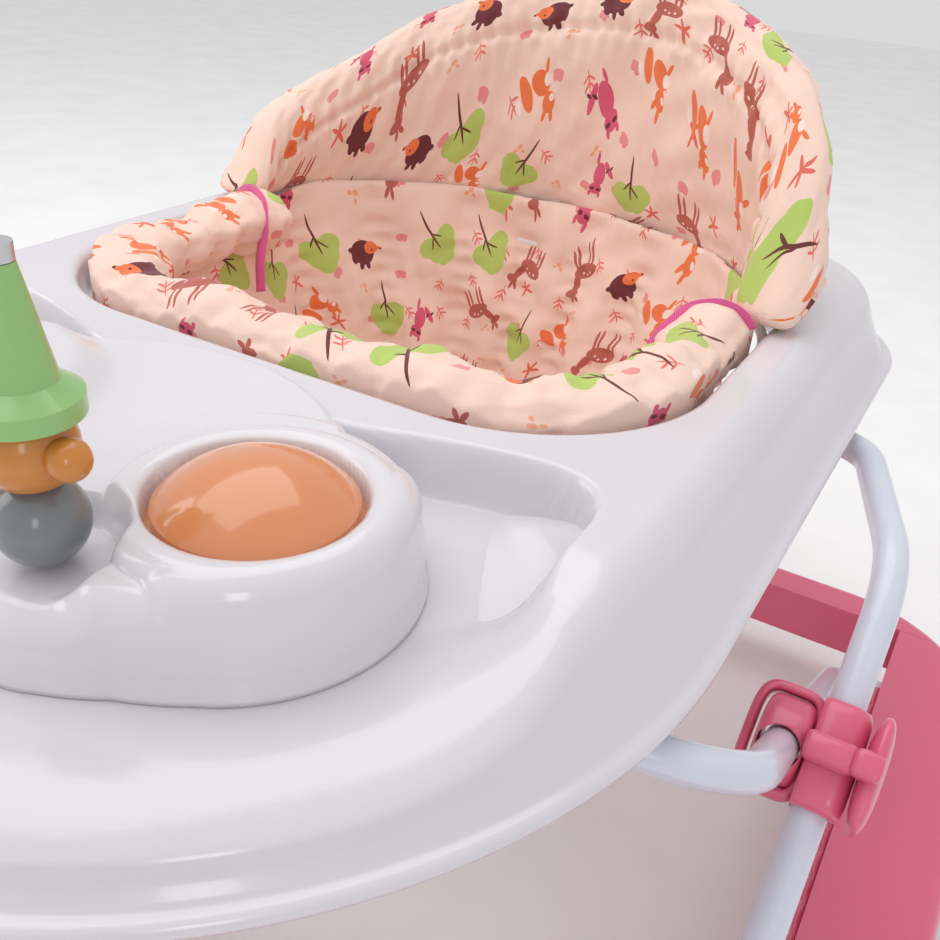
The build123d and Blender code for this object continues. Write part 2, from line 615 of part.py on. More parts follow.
def seat_sling():
    """Fabric bucket of flat panels with two leg holes at the front."""
    shell = sling_form(1, SLING_BOTTOM) - sling_form(0.96, SLING_BOTTOM - 0.01)
    shell -= block(-300, 300, -300, 300, 0, SLING_BOTTOM + 7)
    rim = SLING_TOP - 2.2
    floor = sling_form(1, SLING_BOTTOM) & block(-300, 300, -300, 300, 0, SLING_BOTTOM + 6.9)
    panels = [floor]
    ring = sling_ring()
    for i, (x, y) in enumerate(ring):
        far_x, far_y = ring[(i + 1) % len(ring)]
        mid_x, mid_y = (x + far_x) / 2, (y + far_y) / 2
        size = math.hypot(mid_x, mid_y)
        nudge = (0.3 * mid_x / size, SLING_Y + 0.3 * mid_y / size)
        front = mid_y < -60
        levels = [SLING_BOTTOM + 7, *LEG_Z, rim] if front else [SLING_BOTTOM + 7, rim]
        for low, high in zip(levels, levels[1:]):
            corners = [nudge, (nudge[0] + 2 * x, nudge[1] + 2 * y), (nudge[0] + 2 * far_x, nudge[1] + 2 * far_y)]
            points = [(px, py, low + 0.05) for px, py in corners]
            wedge = extrude(make_face(Polyline(*points, points[0])), amount=high - low - 0.1, dir=(0, 0, 1))
            panel = shell & wedge
            if low == LEG_Z[0]:
                for side in SIDES.values():
                    near, far = sorted((side * LEG_X[0], side * LEG_X[1]))
                    panel -= block(near, far, -300, 0, LEG_Z[0] - 1, LEG_Z[1] + 1)
            panels.append(panel)
    return [solid for panel in panels for solid in panel.solids()]


BACK_Y = 45.0             # centre of the backrest's curve
BACK_OUT = (224.0, 172.0)
BACK_IN = (184.0, 132.0)
BACK_TOP = 556.0


def backrest_wall(outer, inner, low):
    """Wall between two ellipses, behind the backrest's front ends."""
    ring = Ellipse(*outer) - Ellipse(*inner)
    wall = extrude(Pos(0, BACK_Y, low) * ring, amount=BACK_TOP - low)
    return wall & block(-300, 300, BACK_Y + 2, 300, low, BACK_TOP)


def backrest_slope(raised):
    """Space above the backrest's top edge, which climbs from its front ends to the middle of the back."""
    profile = [(20, 410 + raised), (80, 470 + raised), (150, 530 + raised), (215, 556 + raised),
               (300, 556 + raised), (300, 700), (20, 700), (20, 410 + raised)]
    face = make_face(Polyline(*[(-300, y, z) for y, z in profile]))
    return extrude(face, amount=600, dir=(1, 0, 0))


def backrest_pad():
    """Puffed fabric shell of the backrest, standing on the tray's rim, with a pocket for its board."""
    pad = backrest_wall(BACK_OUT, BACK_IN, TRAY_TOP + 0.4) - backrest_slope(0)
    return pad - (backrest_wall((206, 154), (201, 149), TRAY_TOP - 1) - backrest_slope(-18))


def backrest_board():
    """Stiff plastic sheet inside the backrest."""
    return backrest_wall((205.7, 153.7), (201.3, 149.3), TRAY_TOP + 0.5) - backrest_slope(-18.4)


def seat_strap(side):
    """Webbing strap laid over the roll at one side of the seat."""
    x = side * (OPEN_HALF - BOLSTER_IN)
    band = (rod((x, 26, BOLSTER_Z), (x, 42, BOLSTER_Z), BOLSTER_R + 1.8)
            - rod((x, 20, BOLSTER_Z), (x, 50, BOLSTER_Z), BOLSTER_R + 0.3))
    return band & block(x - 40, x + 40, 0, 60, BOLSTER_Z + 2, 420)


# ---------------------------------------------------------------- all parts
def main():
    """Build every sub-part and write it."""
    save(tray_shell(), "tray_shell")
    save(outer_tube(), "outer_leg_tube")
    save(inner_tube(), "inner_leg_tube")
    form = base_block()
    save(base_front(form), "base_front")
    save(base_rear(form), "base_rear_bar")
    for name, side in SIDES.items():
        save(base_side(side, form), f"base_side_{name}")
        save(height_clamp(side), f"height_clamp_{name}")
        save(clamp_lever(side), f"clamp_lever_{name}")
        save(dome_button(side), f"dome_button_{name}")
        save(dome_spring(side), f"dome_spring_{name}")
        save(toy_ball(side, GREY_Z, 15.0), f"toy_ball_{name}")
        save(eared_ball(side), f"toy_eared_ball_{name}")
        save(toy_cone(side), f"toy_cone_{name}")
    pairs = {"tray_brackets": tray_bracket, "slide_rails": slide_rail, "clamp_saddles": saddle,
             "clamp_pins": clamp_pin, "circuit_boards": circuit_board, "toy_spindles": spindle,
             "seat_straps": seat_strap}
    for name, make in pairs.items():
        save_several([make(side) for side in SIDES.values()], name)
    save_several([tube_clip(x) for x in (-180, 180)], "tube_clips")
    strips = [grip_strip(0, BASE_FRONT + 20, 220, 14)]
    strips += [grip_strip(side * 360, 90, 14, 120) for side in SIDES.values()]
    save_several(strips, "grip_strips")
    for name, (x, y) in CASTERS.items():
        save(caster_fork(x, y), f"caster_fork_{name}")
        save(caster_wheel(x, y), f"caster_wheel_{name}")
        save(caster_axle(x, y), f"caster_axle_{name}")
    save(toy_panel(), "toy_panel")
    save(panel_cover(), "toy_panel_cover")
    save(speaker(), "speaker")
    save(battery_box(), "battery_box")
    save_several(battery_cells(), "battery_cells")
    save(battery_door(), "battery_door")
    save(seat_ring(), "seat_ring")
    hooks = [ring_hook(side * (OPEN_HALF - 1), y, 0 if side > 0 else 180)
             for side in SIDES.values() for y in (-30, 40)]
    save_several(hooks, "ring_hooks")
    save(seat_bolster(), "seat_bolster")
    save_several(seat_sling(), "seat_sling")
    save(backrest_pad(), "backrest_pad")
    save(backrest_board(), "backrest_board")


main()
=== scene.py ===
"""Baby walker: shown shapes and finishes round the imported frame.

The frame is in metres.  Pieces are worked out in millimetres on a plan centred on the seat; surface() moves
them by SHIFT along Y and turns them into metres.
"""
import json

import bmesh
import bpy
import numpy as np
from mathutils import Matrix, Vector


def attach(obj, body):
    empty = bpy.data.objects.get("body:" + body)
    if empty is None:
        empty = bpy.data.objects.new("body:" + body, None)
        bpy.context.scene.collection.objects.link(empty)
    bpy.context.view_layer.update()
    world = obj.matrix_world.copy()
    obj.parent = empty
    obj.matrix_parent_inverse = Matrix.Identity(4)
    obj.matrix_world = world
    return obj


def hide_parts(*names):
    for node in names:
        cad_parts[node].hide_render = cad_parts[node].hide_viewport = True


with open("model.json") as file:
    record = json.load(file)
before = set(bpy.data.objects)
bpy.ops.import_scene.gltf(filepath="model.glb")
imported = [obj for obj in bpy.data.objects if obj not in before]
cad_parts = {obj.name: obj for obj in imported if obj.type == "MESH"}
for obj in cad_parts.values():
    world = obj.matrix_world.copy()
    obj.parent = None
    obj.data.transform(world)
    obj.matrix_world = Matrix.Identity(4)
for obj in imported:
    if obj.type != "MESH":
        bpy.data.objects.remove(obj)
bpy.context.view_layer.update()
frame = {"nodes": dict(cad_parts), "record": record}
NODES = frame["nodes"]
SHIFT = 95.0
TAU = 2 * np.pi


# ---------------------------------------------------------------- camera, floor and light
def add_camera():
    """Camera in front of the left side of the tray, looking down over it, slightly rolled."""
    yaw, pitch, roll = 0.494, 0.526, 0.077
    forward = Vector((-np.sin(yaw) * np.cos(pitch), np.cos(yaw) * np.cos(pitch), -np.sin(pitch)))
    right = Vector((np.cos(yaw), np.sin(yaw), 0))
    up = right.cross(forward)
    side = right * np.cos(roll) + up * np.sin(roll)
    top = up * np.cos(roll) - right * np.sin(roll)
    data = bpy.data.cameras.new("view_camera")
    data.lens = 38.26
    data.sensor_width = 36.0
    data.clip_start = 0.01
    camera = bpy.data.objects.new("view_camera", data)
    turn = Matrix((side, top, -forward)).transposed().to_4x4()
    camera.matrix_world = Matrix.Translation((0.31866, -0.52358 + SHIFT / 1000, 0.59338)) @ turn
    bpy.context.scene.collection.objects.link(camera)
    bpy.context.scene.camera = camera


def add_area(name, place, aim, size, power):
    """Soft rectangular lamp aimed at a point."""
    data = bpy.data.lights.new(name, "AREA")
    data.shape = "RECTANGLE"
    data.size, data.size_y = size
    data.energy = power
    lamp = bpy.data.objects.new(name, data)
    lamp.location = place
    lamp.rotation_euler = (Vector(aim) - Vector(place)).to_track_quat("-Z", "Y").to_euler()
    bpy.context.scene.collection.objects.link(lamp)


def add_stage():
    """Pale floor, pale world light and three soft lamps."""
    bpy.context.scene.view_settings.view_transform = "Standard"
    world = bpy.data.worlds.new("studio")
    bpy.context.scene.world = world
    world.use_nodes = True
    world.node_tree.nodes["Background"].inputs[0].default_value = (1.0, 1.0, 1.0, 1)
    world.node_tree.nodes["Background"].inputs[1].default_value = 0.7
    half = 6.0
    corners = [(-half, -half, 0), (half, -half, 0), (half, half, 0), (-half, half, 0)]
    mesh = bpy.data.meshes.new("studio_floor")
    mesh.from_pydata(corners, [], [(0, 1, 2, 3)])
    floor = bpy.data.objects.new("studio_floor", mesh)
    bpy.context.scene.collection.objects.link(floor)
    floor.data.materials.append(plastic("floor_white", (0.93, 0.93, 0.93), 0.9, coat=0.0, grain=0.0))
    add_area("lamp_over", (-0.5, 0.2, 2.3), (0, 0, 0.3), (2.4, 1.8), 21)
    add_area("lamp_left", (-2.2, -1.0, 1.6), (0, 0, 0.35), (1.4, 1.4), 12)
    add_area("lamp_right", (1.5, -2.0, 1.3), (0, 0, 0.3), (0.5, 0.9), 5)


# ---------------------------------------------------------------- materials
def new_material(name):
    """Empty node material with a Principled shader; returns the material, its tree and the shader."""
    material = bpy.data.materials.new(name)
    material.use_nodes = True
    return material, material.node_tree, material.node_tree.nodes["Principled BSDF"]


def link(tree, start, end):
    """Join two sockets."""
    tree.links.new(start, end)


def noise_value(tree, scale, detail=3.0):
    """Noise on Object coordinates."""
    place = tree.nodes.new("ShaderNodeTexCoord")
    noise = tree.nodes.new("ShaderNodeTexNoise")
    noise.inputs["Scale"].default_value = scale
    noise.inputs["Detail"].default_value = detail
    link(tree, place.outputs["Object"], noise.inputs["Vector"])
    return noise.outputs["Fac"]


def tinted(tree, factor, dark, light):
    """Colour ramp between two near shades."""
    ramp = tree.nodes.new("ShaderNodeValToRGB")
    ramp.color_ramp.elements[0].position = 0.3
    ramp.color_ramp.elements[1].position = 0.7
    ramp.color_ramp.elements[0].color = (*dark, 1)
    ramp.color_ramp.elements[1].color = (*light, 1)
    link(tree, factor, ramp.inputs["Fac"])
    return ramp.outputs["Color"]


def linear(red, green, blue):
    """sRGB in 0..255 to linear."""
    channel = np.array([red, green, blue]) / 255
    curve = np.where(channel < 0.04045, channel / 12.92, ((channel + 0.055) / 1.055) ** 2.4)
    return tuple(float(c) for c in curve)


def shaded(colour, gain):
    """A colour made lighter or darker."""
    return tuple(min(1.0, c * gain) for c in colour)


def plastic(name, colour, rough, coat=0.3, grain=0.15, see_through=0.0, metal=0.0, glow=None):
    """Moulded or painted finish: slight mottling, uneven gloss and a fine orange-peel bump."""
    material, tree, shader = new_material(name)
    cloud = noise_value(tree, 9.0)
    link(tree, tinted(tree, cloud, shaded(colour, 0.965), shaded(colour, 1.02)), shader.inputs["Base Color"])
    gloss = tree.nodes.new("ShaderNodeMapRange")
    gloss.inputs["To Min"].default_value = max(0.02, rough - 0.05)
    gloss.inputs["To Max"].default_value = rough + 0.06
    link(tree, noise_value(tree, 45.0), gloss.inputs["Value"])
    link(tree, gloss.outputs["Result"], shader.inputs["Roughness"])
    if grain > 0:
        bump = tree.nodes.new("ShaderNodeBump")
        bump.inputs["Strength"].default_value = grain
        bump.inputs["Distance"].default_value = 0.0004
        link(tree, noise_value(tree, 260.0, 2.0), bump.inputs["Height"])
        link(tree, bump.outputs["Normal"], shader.inputs["Normal"])
    shader.inputs["Coat Weight"].default_value = coat
    shader.inputs["Coat Roughness"].default_value = 0.08
    shader.inputs["Metallic"].default_value = metal
    shader.inputs["Subsurface Weight"].default_value = see_through
    shader.inputs["Subsurface Radius"].default_value = (0.02, 0.012, 0.008)
    shader.inputs["Subsurface Scale"].default_value = 0.5
    if glow:
        shader.inputs["Emission Color"].default_value = (*glow, 1)
        shader.inputs["Emission Strength"].default_value = 0.12
    return material


class Sums:
    """Small arithmetic on shader sockets."""

    def __init__(self, tree):
        self.tree = tree

    def op(self, kind, a, b=0.0, c=None):
        """One Math node."""
        node = self.tree.nodes.new("ShaderNodeMath")
        node.operation = kind
        for i, value in enumerate((a, b) if c is None else (a, b, c)):
            if isinstance(value, (int, float)):
                node.inputs[i].default_value = value
            else:
                self.tree.links.new(value, node.inputs[i])
        return node.outputs[0]

    def oval(self, x, y, cx, cy, rx, ry, turn=0.0):
        """Below 1 inside an ellipse with this centre, half axes and turn in degrees."""
        c, s = float(np.cos(np.radians(turn))), float(np.sin(np.radians(turn)))
        along_y = self.op("MULTIPLY_ADD", y, s / rx, -(cx * c + cy * s) / rx)
        along = self.op("MULTIPLY_ADD", x, c / rx, along_y)
        over_y = self.op("MULTIPLY_ADD", y, c / ry, (cx * s - cy * c) / ry)
        over = self.op("MULTIPLY_ADD", x, -s / ry, over_y)
        return self.op("ADD", self.op("MULTIPLY", along, along), self.op("MULTIPLY", over, over))

    def shape(self, x, y, ovals):
        """1 inside any of the ellipses."""
        nearest = self.oval(x, y, *ovals[0])
        for one in ovals[1:]:
            nearest = self.op("MINIMUM", nearest, self.oval(x, y, *one))
        return self.op("LESS_THAN", nearest, 1.0)

    def over(self, under, mask, colour):
        """Paint a colour over another where the mask is 1."""
        mix = self.tree.nodes.new("ShaderNodeMix")
        mix.data_type = "RGBA"
        self.tree.links.new(mask, mix.inputs[0])
        self.tree.links.new(under, mix.inputs[6])
        mix.inputs[7].default_value = (*colour, 1)
        return mix.outputs[2]


LEAF = linear(188, 208, 108)
BARK = linear(112, 52, 46)
CORAL = linear(238, 118, 112)
ROSE = linear(222, 92, 122)
FOX = linear(243, 124, 72)
FAWN = linear(190, 100, 88)
PLUM = linear(112, 44, 50)
CREAM = linear(252, 232, 222)
PEACH = linear(250, 216, 200)

# drawings of the print: colour and ellipses (centre, half axes, turn in degrees), in fractions of a cell
TREE = [
    (LEAF, [(0, 0.12, 0.2, 0.17), (-0.13, 0.05, 0.12, 0.11), (0.13, 0.04, 0.13, 0.11), (0, 0.25, 0.12, 0.08)]),
    (BARK, [(0, -0.09, 0.014, 0.22), (0.05, 0.02, 0.01, 0.08, -40), (-0.045, -0.03, 0.01, 0.07, 42)]),
]
DEER = [
    (FAWN, [(0, 0, 0.17, 0.085), (0.15, 0.11, 0.045, 0.12, -28), (0.21, 0.21, 0.075, 0.045, -12),
            (-0.11, -0.15, 0.018, 0.13), (-0.05, -0.15, 0.016, 0.12), (0.08, -0.15, 0.016, 0.13),
            (0.13, -0.14, 0.018, 0.12), (0.15, 0.28, 0.02, 0.05, 30), (0.2, 0.29, 0.018, 0.05, -10)]),
    (CREAM, [(-0.07, 0.03, 0.014, 0.014), (0.0, 0.045, 0.012, 0.012), (0.06, 0.02, 0.012, 0.012)]),
]
LITTLE_FOX = [
    (FOX, [(0, -0.02, 0.12, 0.085, 15), (0.12, 0.1, 0.075, 0.06), (-0.17, 0.04, 0.14, 0.055, 50),
           (0.08, 0.17, 0.022, 0.05, 15), (0.16, 0.17, 0.022, 0.05, -15), (0.06, -0.13, 0.02, 0.07)]),
    (CREAM, [(-0.235, 0.12, 0.05, 0.032, 50), (0.08, -0.04, 0.045, 0.05), (0.15, 0.075, 0.03, 0.02)]),
]
HEDGEHOG = [
    (PLUM, [(0, 0.02, 0.16, 0.13), (-0.1, 0.12, 0.05, 0.03, 50), (0, 0.16, 0.03, 0.05),
            (0.08, 0.14, 0.03, 0.05, -30), (-0.15, 0.02, 0.05, 0.03)]),
    (FOX, [(0.1, -0.04, 0.085, 0.07), (0.19, -0.06, 0.035, 0.02)]),
    (PLUM, [(0.12, -0.02, 0.012, 0.012), (0.22, -0.06, 0.013, 0.013)]),
]
MASKED_CUB = [
    (ROSE, [(0, -0.02, 0.08, 0.12), (0.01, 0.14, 0.08, 0.07), (-0.05, 0.21, 0.02, 0.035),
            (0.07, 0.21, 0.02, 0.035), (-0.12, -0.1, 0.1, 0.035, -35), (0.06, -0.16, 0.02, 0.06)]),
    (PLUM, [(-0.03, 0.145, 0.028, 0.018), (0.05, 0.145, 0.028, 0.018), (-0.1, -0.09, 0.012, 0.035, -35),
            (-0.155, -0.13, 0.012, 0.03, -35)]),
]
SPRIG = [(CORAL, [(0, 0.02, 0.016, 0.2), (0.07, 0.1, 0.09, 0.022, 45), (-0.07, 0.1, 0.09, 0.022, -45),
                  (0.075, -0.02, 0.085, 0.02, 35), (-0.075, -0.02, 0.085, 0.02, -35)])]
CLOUD = [(linear(240, 150, 150), [(0, 0, 0.15, 0.07), (-0.06, 0.05, 0.08, 0.07), (0.06, 0.06, 0.07, 0.07)])]
FERN = [(linear(232, 110, 92), [(0.08, 0.08, 0.15, 0.035, 40), (-0.08, 0.08, 0.15, 0.035, -40),
                                (0, -0.06, 0.035, 0.13), (0.11, -0.03, 0.1, 0.03, -20),
                                (-0.11, -0.03, 0.1, 0.03, 20)])]
PETALS = [(linear(246, 176, 140), [(0, 0, 0.07, 0.045, 30), (0.1, 0.09, 0.06, 0.035, 30),
                                   (-0.09, 0.08, 0.05, 0.03, -20)])]
# share of the cells, from and to, that show each drawing
BIG_SHAPES = [(0.00, 0.30, TREE), (0.30, 0.52, DEER), (0.52, 0.72, LITTLE_FOX), (0.72, 0.86, HEDGEHOG),
              (0.86, 1.01, MASKED_CUB)]
SMALL_SHAPES = [(0.00, 0.34, SPRIG), (0.34, 0.60, CLOUD), (0.60, 0.80, FERN), (0.80, 1.01, PETALS)]


def print_layer(tree, sums, under, cell, offset, shapes, reach):
    """One scatter of small drawings: a cell grid picks, places and turns one drawing per cell."""
    place = tree.nodes.new("ShaderNodeUVMap")
    place.uv_map = "UVMap"
    scaled = tree.nodes.new("ShaderNodeMapping")
    scaled.inputs["Location"].default_value = (*offset, 0)
    scaled.inputs["Scale"].default_value = (1 / cell, 1 / cell, 0)
    link(tree, place.outputs["UV"], scaled.inputs["Vector"])
    cells = tree.nodes.new("ShaderNodeTexVoronoi")
    cells.voronoi_dimensions = "2D"
    cells.inputs["Scale"].default_value = 1.0
    cells.inputs["Randomness"].default_value = 0.42
    link(tree, scaled.outputs["Vector"], cells.inputs["Vector"])
    away = tree.nodes.new("ShaderNodeVectorMath")
    away.operation = "SUBTRACT"
    link(tree, scaled.outputs["Vector"], away.inputs[0])
    link(tree, cells.outputs["Position"], away.inputs[1])
    pick = tree.nodes.new("ShaderNodeSeparateColor")
    link(tree, cells.outputs["Color"], pick.inputs["Color"])
    turned = tree.nodes.new("ShaderNodeVectorRotate")
    turned.rotation_type = "Z_AXIS"
    link(tree, away.outputs["Vector"], turned.inputs["Vector"])
    link(tree, sums.op("MULTIPLY_ADD", pick.outputs["Green"], 1.5, -0.75), turned.inputs["Angle"])
    apart = tree.nodes.new("ShaderNodeSeparateXYZ")
    link(tree, turned.outputs["Vector"], apart.inputs["Vector"])
    flip = sums.op("MULTIPLY_ADD", sums.op("GREATER_THAN", pick.outputs["Blue"], 0.5), 2.0, -1.0)
    x = sums.op("MULTIPLY", sums.op("MULTIPLY", apart.outputs["X"], flip), reach)
    y = sums.op("MULTIPLY", apart.outputs["Y"], reach)
    for low, high, parts in shapes:
        chosen = sums.op("MULTIPLY", sums.op("GREATER_THAN", pick.outputs["Red"], low - 1e-4),
                         sums.op("LESS_THAN", pick.outputs["Red"], high))
        for colour, ovals in parts:
            under = sums.over(under, sums.op("MULTIPLY", sums.shape(x, y, ovals), chosen), colour)
    return under


def printed_cloth(name):
    """Peach woven cotton with a scattered woodland print, in the piece's own UV metres."""
    material, tree, shader = new_material(name)
    sums = Sums(tree)
    ground = tinted(tree, noise_value(tree, 30.0), shaded(PEACH, 0.97), shaded(PEACH, 1.02))
    colour = print_layer(tree, sums, ground, 0.031, (0.37, 0.21), SMALL_SHAPES, 0.95)
    colour = print_layer(tree, sums, colour, 0.05, (0.1, 0.43), BIG_SHAPES, 0.72)
    link(tree, colour, shader.inputs["Base Color"])
    place = tree.nodes.new("ShaderNodeUVMap")
    place.uv_map = "UVMap"
    threads = []
    for direction in ("X", "Y"):
        wave = tree.nodes.new("ShaderNodeTexWave")
        wave.bands_direction = direction
        wave.inputs["Scale"].default_value = 420.0
        link(tree, place.outputs["UV"], wave.inputs["Vector"])
        threads.append(wave.outputs["Fac"])
    weave = sums.op("ADD", sums.op("MULTIPLY", threads[0], threads[1]),
                    sums.op("MULTIPLY", noise_value(tree, 160.0), 1.3))
    bump = tree.nodes.new("ShaderNodeBump")
    bump.inputs["Strength"].default_value = 0.35
    bump.inputs["Distance"].default_value = 0.0006
    link(tree, weave, bump.inputs["Height"])
    link(tree, bump.outputs["Normal"], shader.inputs["Normal"])
    shader.inputs["Roughness"].default_value = 0.78
    shader.inputs["Sheen Weight"].default_value = 0.25
    shader.inputs["Sheen Roughness"].default_value = 0.4
    return material


def woven_tape(name, colour):
    """Herringbone tape: two slanted waves mirrored about the tape's middle."""
    material, tree, shader = new_material(name)
    sums = Sums(tree)
    place = tree.nodes.new("ShaderNodeUVMap")
    place.uv_map = "UVMap"
    apart = tree.nodes.new("ShaderNodeSeparateXYZ")
    link(tree, place.outputs["UV"], apart.inputs["Vector"])
    slant = sums.op("ADD", apart.outputs["X"], sums.op("ABSOLUTE", apart.outputs["Y"]))
    rib = sums.op("SINE", sums.op("MULTIPLY", slant, TAU / 0.0016))
    half = sums.op("MULTIPLY_ADD", rib, 0.5, 0.5)
    link(tree, tinted(tree, half, shaded(colour, 0.78), shaded(colour, 1.12)), shader.inputs["Base Color"])
    bump = tree.nodes.new("ShaderNodeBump")
    bump.inputs["Strength"].default_value = 0.5
    bump.inputs["Distance"].default_value = 0.0005
    link(tree, half, bump.inputs["Height"])
    link(tree, bump.outputs["Normal"], shader.inputs["Normal"])
    shader.inputs["Roughness"].default_value = 0.7
    shader.inputs["Sheen Weight"].default_value = 0.2
    return material


# ---------------------------------------------------------------- surfaces
def surface(name, points, material, body, slot, around=True, closed=False, uv=None, flip=False,
            shut=True):
    """Mesh over a grid of points in millimetres, seat-centred; closes round the first index or both."""
    rows, columns = points.shape[:2]
    row_count = rows if around else rows - 1
    column_count = columns if closed else columns - 1
    i, j = np.meshgrid(np.arange(row_count), np.arange(column_count), indexing="ij")
    i, j = i.ravel(), j.ravel()
    ni, nj = (i + 1) % rows, (j + 1) % columns
    quads = np.stack([i * columns + j, ni * columns + j, ni * columns + nj, i * columns + nj], 1)
    if flip:
        quads = quads[:, ::-1]
    mesh = bpy.data.meshes.new(name)
    place = (points.reshape(-1, 3) + np.array([0, SHIFT, 0])) / 1000
    mesh.vertices.add(len(place))
    mesh.vertices.foreach_set("co", place.ravel())
    mesh.loops.add(quads.size)
    mesh.loops.foreach_set("vertex_index", quads.ravel())
    mesh.polygons.add(len(quads))
    mesh.polygons.foreach_set("loop_start", np.arange(0, quads.size, 4))
    mesh.polygons.foreach_set("use_smooth", np.ones(len(quads), bool))
    mesh.update(calc_edges=True)
    if uv is not None:
        # the last cell of a closed direction takes the far edge's own value, so nothing wraps back
        ii = np.stack([i, i + 1, i + 1, i], 1)
        jj = np.stack([j, j, j + 1, j + 1], 1)
        if flip:
            ii, jj = ii[:, ::-1], jj[:, ::-1]
        table = uv(ii.ravel(), jj.ravel()) / 1000
        mesh.uv_layers.new(name="UVMap").data.foreach_set("uv", table.ravel())
    mesh.validate()
    piece = bpy.data.objects.new(name, mesh)
    bpy.context.scene.collection.objects.link(piece)
    mesh.materials.append(material)
    weld(piece, shut)
    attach(piece, body)
    return piece


def weld(piece, shut):
    """Merge the points of seams and poles; on a closed shape also turn all faces outwards."""
    work = bmesh.new()
    work.from_mesh(piece.data)
    bmesh.ops.remove_doubles(work, verts=work.verts, dist=1e-6)
    if shut:
        bmesh.ops.recalc_face_normals(work, faces=work.faces)
    work.to_mesh(piece.data)
    work.free()


def capped(points):
    """The same rows with a row gathered to the middle at each end."""
    first = np.broadcast_to(points[0].mean(axis=0), points[0].shape)
    last = np.broadcast_to(points[-1].mean(axis=0), points[0].shape)
    return np.concatenate([first[None], points, last[None]], 0)


def ease(t):
    """Smooth step from 0 to 1."""
    t = np.clip(t, 0, 1)
    return t * t * (3 - 2 * t)


def polar(outline, centre, angles):
    """Radius of a closed star-shaped outline at each angle, by interpolation."""
    away = outline - centre
    turn = np.arctan2(away[:, 1], away[:, 0])
    order = np.argsort(turn)
    return np.interp(angles, turn[order], np.hypot(*away.T)[order], period=TAU)


def corner_arc(cx, cy, radius, start, count=240):
    """Quarter circle of points."""
    t = np.radians(start + np.linspace(0, 90, count))
    return np.stack([cx + radius * np.cos(t), cy + radius * np.sin(t)], 1)


def dense(points, step=1.0):
    """Points every step along a polyline."""
    points = np.asarray(points, float)
    run = np.r_[0, np.cumsum(np.hypot(*np.diff(points, axis=0).T))]
    t = np.arange(0, run[-1], step)
    return np.stack([np.interp(t, run, points[:, k]) for k in range(2)], 1)


def tray_outline(inset):
    """Tray plan: straight sides, rounded rear corners and a half-ellipse nose."""
    half, rear, corner = 262 - inset, 272 - inset, 100 - inset
    t = np.linspace(np.pi, TAU, 1200)
    nose = np.stack([half * np.cos(t), -190 + (272 - inset) * np.sin(t)], 1)
    right = corner_arc(half - corner, rear - corner, corner, 0)
    left = corner_arc(corner - half, rear - corner, corner, 90)
    return dense(np.concatenate([nose, right, left, nose[:1]]))


def opening_outline(grow):
    """Seat opening plan: a rectangle with large corner radii."""
    half, front, rear, rf, rr = 202 + grow, -164 - grow, 186 + grow, 105 + grow, 118 + grow
    loop = [corner_arc(rf - half, front + rf, rf, 180), corner_arc(half - rf, front + rf, rf, 270),
            corner_arc(half - rr, rear - rr, rr, 0), corner_arc(rr - half, rear - rr, rr, 90)]
    loop.append(loop[0][:1])
    return dense(np.concatenate(loop))


FLOOR_Z, RIM_Z, LIP_Z = 353.0, 380.0, 322.0
HOLE_ROUND = 6                # radius where the rim turns down into the seat opening
EDGE_INSET = 44               # where the flat top begins to roll over
EDGE_LEAN = np.radians(64)    # angle of the rolled edge where it meets the skirt
# top edge of the wall round the lowered floor, right half, from the middle out and then to the front
STEP_LINE = np.array([(0, -211), (30, -210), (60, -206), (90, -199), (115, -190), (140, -183), (160, -179),
                      (174, -178), (184, -180), (192, -185), (197, -193), (199, -203), (199, -218), (198, -245),
                      (196, -275), (192, -320)], float)


def tray_height(x, y):
    """Height of the tray's top: rim level, sinking to the lowered floor in front of the step line."""
    level = FLOOR_Z + (RIM_Z - FLOOR_Z) * ease((y + 335) / 120)
    ax = np.abs(x)
    near = np.full(x.shape, 1e9)
    for px, py in dense(STEP_LINE, 1.5):
        near = np.minimum(near, (ax - px) ** 2 + (y - py) ** 2)
    loop = np.r_[STEP_LINE, [(190, -600), (0, -600)]]
    inside = np.zeros(x.shape, bool)
    for (x0, y0), (x1, y1) in zip(loop, np.roll(loop, -1, axis=0)):
        if x0 != x1:
            spanned = (np.minimum(x0, x1) <= ax) & (ax < np.maximum(x0, x1))
            inside ^= spanned & (y < y0 + (y1 - y0) * (ax - x0) / (x1 - x0))
    signed = np.sqrt(near) * np.where(inside, -1, 1)
    width = 11 + 60 * ease((-226 - y) / 75)
    return FLOOR_Z + (level - FLOOR_Z) * ease((signed + 0.5 * width) / width)


